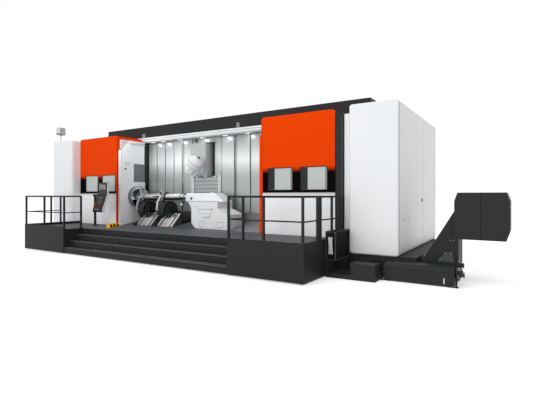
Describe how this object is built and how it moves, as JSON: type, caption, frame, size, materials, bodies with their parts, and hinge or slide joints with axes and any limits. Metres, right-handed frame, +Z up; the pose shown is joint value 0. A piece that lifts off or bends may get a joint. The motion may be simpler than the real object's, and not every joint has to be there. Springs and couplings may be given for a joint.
{
  "type": "multitasking machining center",
  "caption": "Long multitasking machining center with sliding doors, operator deck and steps, travelling column with swivelling milling head, tailstock and chip conveyor.",
  "frame": {"origin": "centre of the footprint at floor level", "axes": "+X along the work spindle from the headstock to the tailstock, +Y from the operator's side to the back, +Z up"},
  "size_m": [16.22, 6.57, 4.69],
  "materials": {
    "white_enamel": "satin white powder enamel",
    "orange_enamel": "gloss orange enamel, black window band, white lower half",
    "dark_grey_paint": "satin dark grey powder coat",
    "charcoal_enamel": "satin charcoal enamel",
    "light_grey_enamel": "satin light grey enamel",
    "brushed_steel": "vertically brushed stainless sheet",
    "bright_steel": "ground and polished steel",
    "blackened_iron": "black oiled casting",
    "tinted_glass": "grey safety glass",
    "lamp_glass": "frosted lamp glass",
    "black_plastic": "matte black moulded plastic",
    "yellow_enamel": "yellow enamel"
  },
  "bodies": {
    "machine": {"left_platform": "dark_grey_paint", "right_platform": "dark_grey_paint", "step_1": "dark_grey_paint", "step_2": "dark_grey_paint", "step_3": "dark_grey_paint", "front_deck": "dark_grey_paint", "left_railing_front": "dark_grey_paint", "left_railing_outer": "dark_grey_paint", "left_railing_inner": "dark_grey_paint", "right_railing_front": "dark_grey_paint", "right_railing_inner": "dark_grey_paint", "right_railing_outer": "dark_grey_paint", "headstock_housing": "white_enamel", "left_cabinet": "white_enamel", "header_rail": "white_enamel", "magazine_housing": "white_enamel", "bed": "charcoal_enamel", "roof": "charcoal_enamel", "right_pillar": "charcoal_enamel", "base_slab": "charcoal_enamel", "coolant_tank": "charcoal_enamel", "chip_trough": "charcoal_enamel", "conveyor": "charcoal_enamel", "service_duct": "charcoal_enamel", "pendant_post": "charcoal_enamel", "work_lamps": "lamp_glass", "rear_walls": "light_grey_enamel", "signal_lamp": "light_grey_enamel", "end_covers": "brushed_steel", "foot_switch": "yellow_enamel"},
    "left_front_leaf": {"left_front_leaf": "orange_enamel", "left_door_windows": "tinted_glass"},
    "left_rear_leaf": {"left_rear_leaf": "orange_enamel"},
    "right_front_leaf": {"right_front_leaf": "orange_enamel", "right_door_windows": "tinted_glass"},
    "right_rear_leaf": {"right_rear_leaf": "orange_enamel"},
    "column": {"column": "light_grey_enamel", "column_frame": "brushed_steel"},
    "left_cover_1": {"left_cover_1": "brushed_steel"},
    "left_cover_2": {"left_cover_2": "brushed_steel"},
    "left_cover_3": {"left_cover_3": "brushed_steel"},
    "right_cover_1": {"right_cover_1": "brushed_steel"},
    "right_cover_2": {"right_cover_2": "brushed_steel"},
    "right_cover_3": {"right_cover_3": "brushed_steel"},
    "ram": {"ram": "light_grey_enamel"},
    "milling_head": {"milling_head": "white_enamel"},
    "milling_tool": {"milling_tool": "bright_steel"},
    "work_spindle": {"chuck": "bright_steel", "chuck_jaws": "bright_steel", "workpiece_shaft": "bright_steel"},
    "steady_rest_1": {"steady_rest_1": "blackened_iron", "steady_arms_1": "bright_steel"},
    "steady_rest_2": {"steady_rest_2": "blackened_iron", "steady_arms_2": "bright_steel"},
    "tailstock": {"tailstock": "white_enamel", "tail_centre": "bright_steel"},
    "control_pendant": {"control_pendant": "black_plastic"}
  },
  "joints": [
    {"name": "left_door_slide", "type": "slide", "parent": "machine", "child": "left_front_leaf", "axis": [1, 0, 0], "range_m": [0, 3.225]},
    {"name": "left_rear_leaf_slide", "type": "slide", "parent": "machine", "child": "left_rear_leaf", "axis": [1, 0, 0], "range_m": [0, 1.13]},
    {"name": "right_door_slide", "type": "slide", "parent": "machine", "child": "right_front_leaf", "axis": [-1, 0, 0], "range_m": [0, 3.225]},
    {"name": "right_rear_leaf_slide", "type": "slide", "parent": "machine", "child": "right_rear_leaf", "axis": [-1, 0, 0], "range_m": [0, 1.13]},
    {"name": "column_travel", "type": "slide", "parent": "machine", "child": "column", "axis": [1, 0, 0], "range_m": [-1.05, 1.05]},
    {"name": "left_cover_1_slide", "type": "slide", "parent": "machine", "child": "left_cover_1", "axis": [1, 0, 0], "range_m": [-0.9, 0.9]},
    {"name": "left_cover_2_slide", "type": "slide", "parent": "machine", "child": "left_cover_2", "axis": [1, 0, 0], "range_m": [-0.9, 0.9]},
    {"name": "left_cover_3_slide", "type": "slide", "parent": "machine", "child": "left_cover_3", "axis": [1, 0, 0], "range_m": [-0.9, 0.9]},
    {"name": "right_cover_1_slide", "type": "slide", "parent": "machine", "child": "right_cover_1", "axis": [1, 0, 0], "range_m": [-0.9, 0.9]},
    {"name": "right_cover_2_slide", "type": "slide", "parent": "machine", "child": "right_cover_2", "axis": [1, 0, 0], "range_m": [-0.9, 0.9]},
    {"name": "right_cover_3_slide", "type": "slide", "parent": "machine", "child": "right_cover_3", "axis": [1, 0, 0], "range_m": [-0.9, 0.9]},
    {"name": "ram_slide", "type": "slide", "parent": "column", "child": "ram", "axis": [0, -1, 0], "range_m": [-0.1, 0.32]},
    {"name": "head_swivel", "type": "hinge", "parent": "ram", "child": "milling_head", "pos_m": [-1.55, -0.29, 2.835], "axis": [0, 1, 0], "range_deg": [-165, 75]},
    {"name": "milling_spindle_turn", "type": "hinge", "parent": "milling_head", "child": "milling_tool", "pos_m": [-1.55, -0.29, 2.835], "axis": [-0.7071, 0, -0.7071], "continuous": true},
    {"name": "work_spindle_turn", "type": "hinge", "parent": "machine", "child": "work_spindle", "pos_m": [-4.2, -0.28, 1.86], "axis": [1, 0, 0], "continuous": true},
    {"name": "steady_rest_1_slide", "type": "slide", "parent": "machine", "child": "steady_rest_1", "axis": [1, 0, 0], "range_m": [0, 0.13]},
    {"name": "steady_rest_2_slide", "type": "slide", "parent": "machine", "child": "steady_rest_2", "axis": [1, 0, 0], "range_m": [0, 0.6]},
    {"name": "tailstock_slide", "type": "slide", "parent": "machine", "child": "tailstock", "axis": [1, 0, 0], "range_m": [0, 3.4]},
    {"name": "pendant_swivel", "type": "hinge", "parent": "machine", "child": "control_pendant", "pos_m": [-5.05, -1.64, 1.31], "axis": [0, 0, 1], "range_deg": [-60, 30]}
  ],
  "couplings": [
    {"joint": "left_rear_leaf_slide", "follows": "left_door_slide", "ratio": 0.35},
    {"joint": "right_rear_leaf_slide", "follows": "right_door_slide", "ratio": 0.35},
    {"joint": "left_cover_1_slide", "follows": "column_travel", "ratio": 0.75},
    {"joint": "left_cover_2_slide", "follows": "column_travel", "ratio": 0.5},
    {"joint": "left_cover_3_slide", "follows": "column_travel", "ratio": 0.25},
    {"joint": "right_cover_1_slide", "follows": "column_travel", "ratio": 0.75},
    {"joint": "right_cover_2_slide", "follows": "column_travel", "ratio": 0.5},
    {"joint": "right_cover_3_slide", "follows": "column_travel", "ratio": 0.25}
  ]
}
